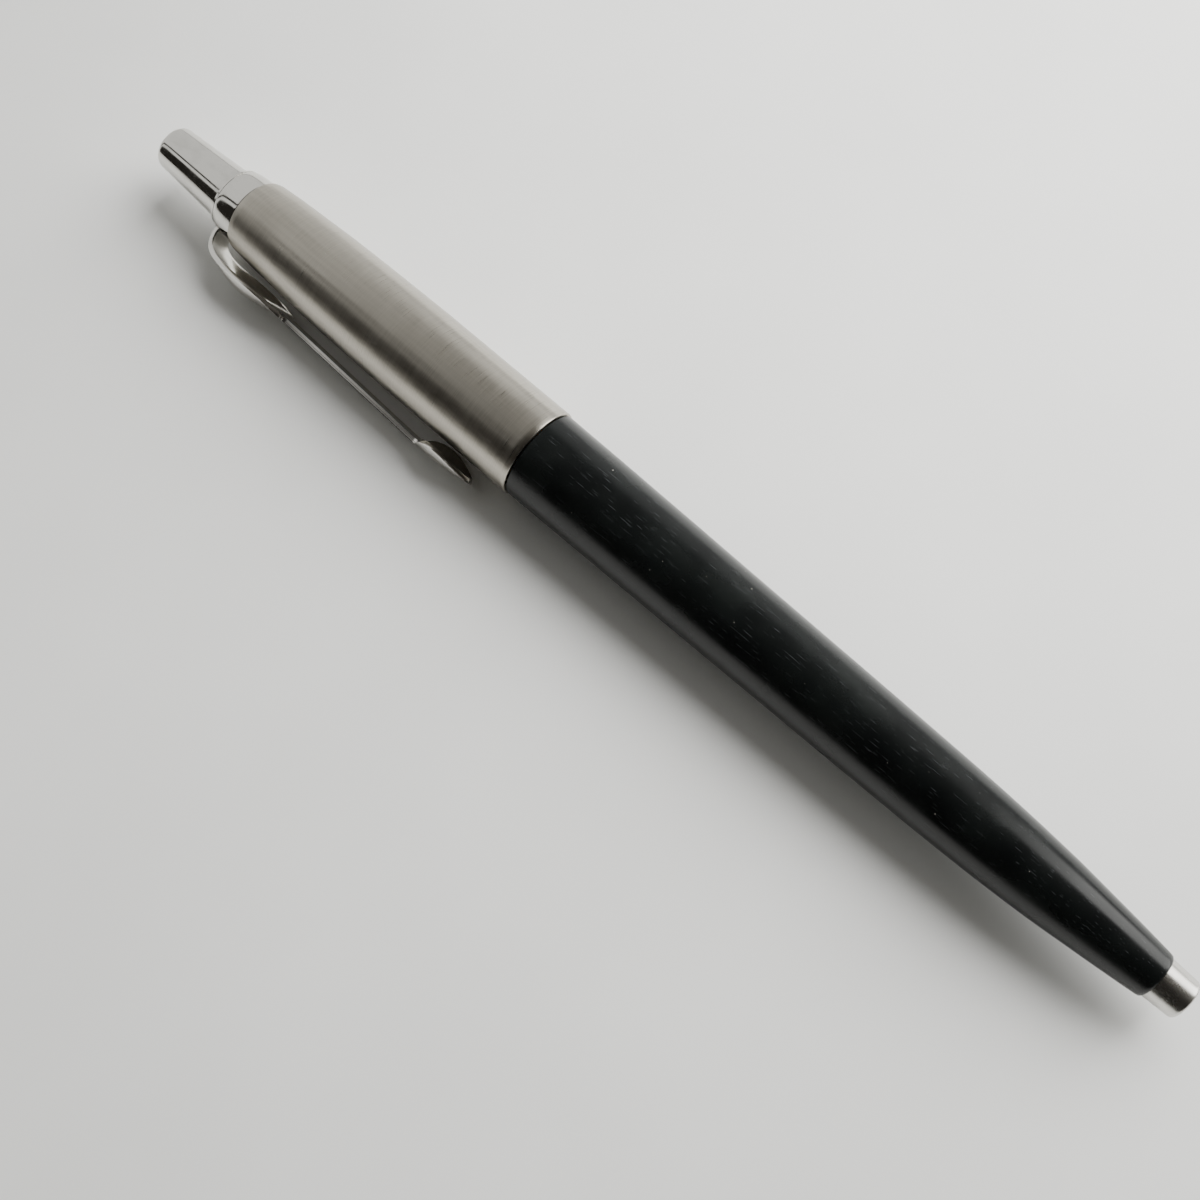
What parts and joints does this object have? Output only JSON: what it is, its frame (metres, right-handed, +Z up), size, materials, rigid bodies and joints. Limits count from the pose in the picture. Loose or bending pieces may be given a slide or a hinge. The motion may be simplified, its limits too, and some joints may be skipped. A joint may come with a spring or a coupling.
{
  "type": "counterfeit detector pen",
  "caption": "Push-button detector pen with a steel cap, spring clip, black tapered barrel and retractable refill.",
  "frame": {"origin": "middle of the lying pen's footprint, on the surface it lies on", "axes": "+X along the pen axis from the push button to the writing point, +Z up, clip towards -Y and down"},
  "size_m": [0.1332, 0.0122, 0.0102],
  "materials": {
    "polished_steel": "polished",
    "plunger_plastic": "moulded",
    "cam_plastic": "moulded",
    "brass": "turned",
    "brushed_steel": "brushed round the cap",
    "black_plastic": "glossy with fine scratches",
    "spring_steel": "drawn wire",
    "crown_plastic": "moulded",
    "refill_metal": "drawn tube",
    "point_brass": "turned",
    "ball_carbide": "polished",
    "grease": "wet",
    "detector_ink": "wet"
  },
  "bodies": {
    "cap": {"retaining_bush": "polished_steel", "mechanism_sleeve": "brass", "clip_ring": "polished_steel", "cap_shell": "brushed_steel", "thread_insert": "brass"},
    "clip": {"clip_blade": "polished_steel"},
    "button": {"push_button": "polished_steel", "button_core": "plunger_plastic"},
    "refill": {"cam_rotor": "cam_plastic", "refill_crown": "crown_plastic", "refill_tube": "refill_metal", "refill_point": "point_brass", "writing_ball": "ball_carbide", "ink_follower": "grease", "ink_column": "detector_ink"},
    "barrel": {"barrel_thread": "brass", "lower_barrel": "black_plastic", "nose_tip": "polished_steel", "return_spring": "spring_steel"}
  },
  "joints": [
    {"name": "button_press", "type": "slide", "parent": "cap", "child": "button", "axis": [1, 0, 0], "range_m": [0, 0.0055], "stiffness_N_per_m": 300, "springref_m": -0.003},
    {"name": "refill_advance", "type": "slide", "parent": "cap", "child": "refill", "axis": [1, 0, 0], "range_m": [0, 0.0055], "deforming": ["return_spring"]},
    {"name": "barrel_withdraw", "type": "slide", "parent": "cap", "child": "barrel", "axis": [1, 0, 0], "range_m": [0, 0.09]},
    {"name": "clip_flex", "type": "hinge", "parent": "cap", "child": "clip", "pos_m": [-0.05457, -0.00408, 0.00252], "axis": [0, 0.4521, -0.892], "range_deg": [0, 5], "stiffness_Nm_per_rad": 3.5}
  ],
  "couplings": [
    {"joint": "refill_advance", "follows": "button_press", "ratio": 1}
  ]
}
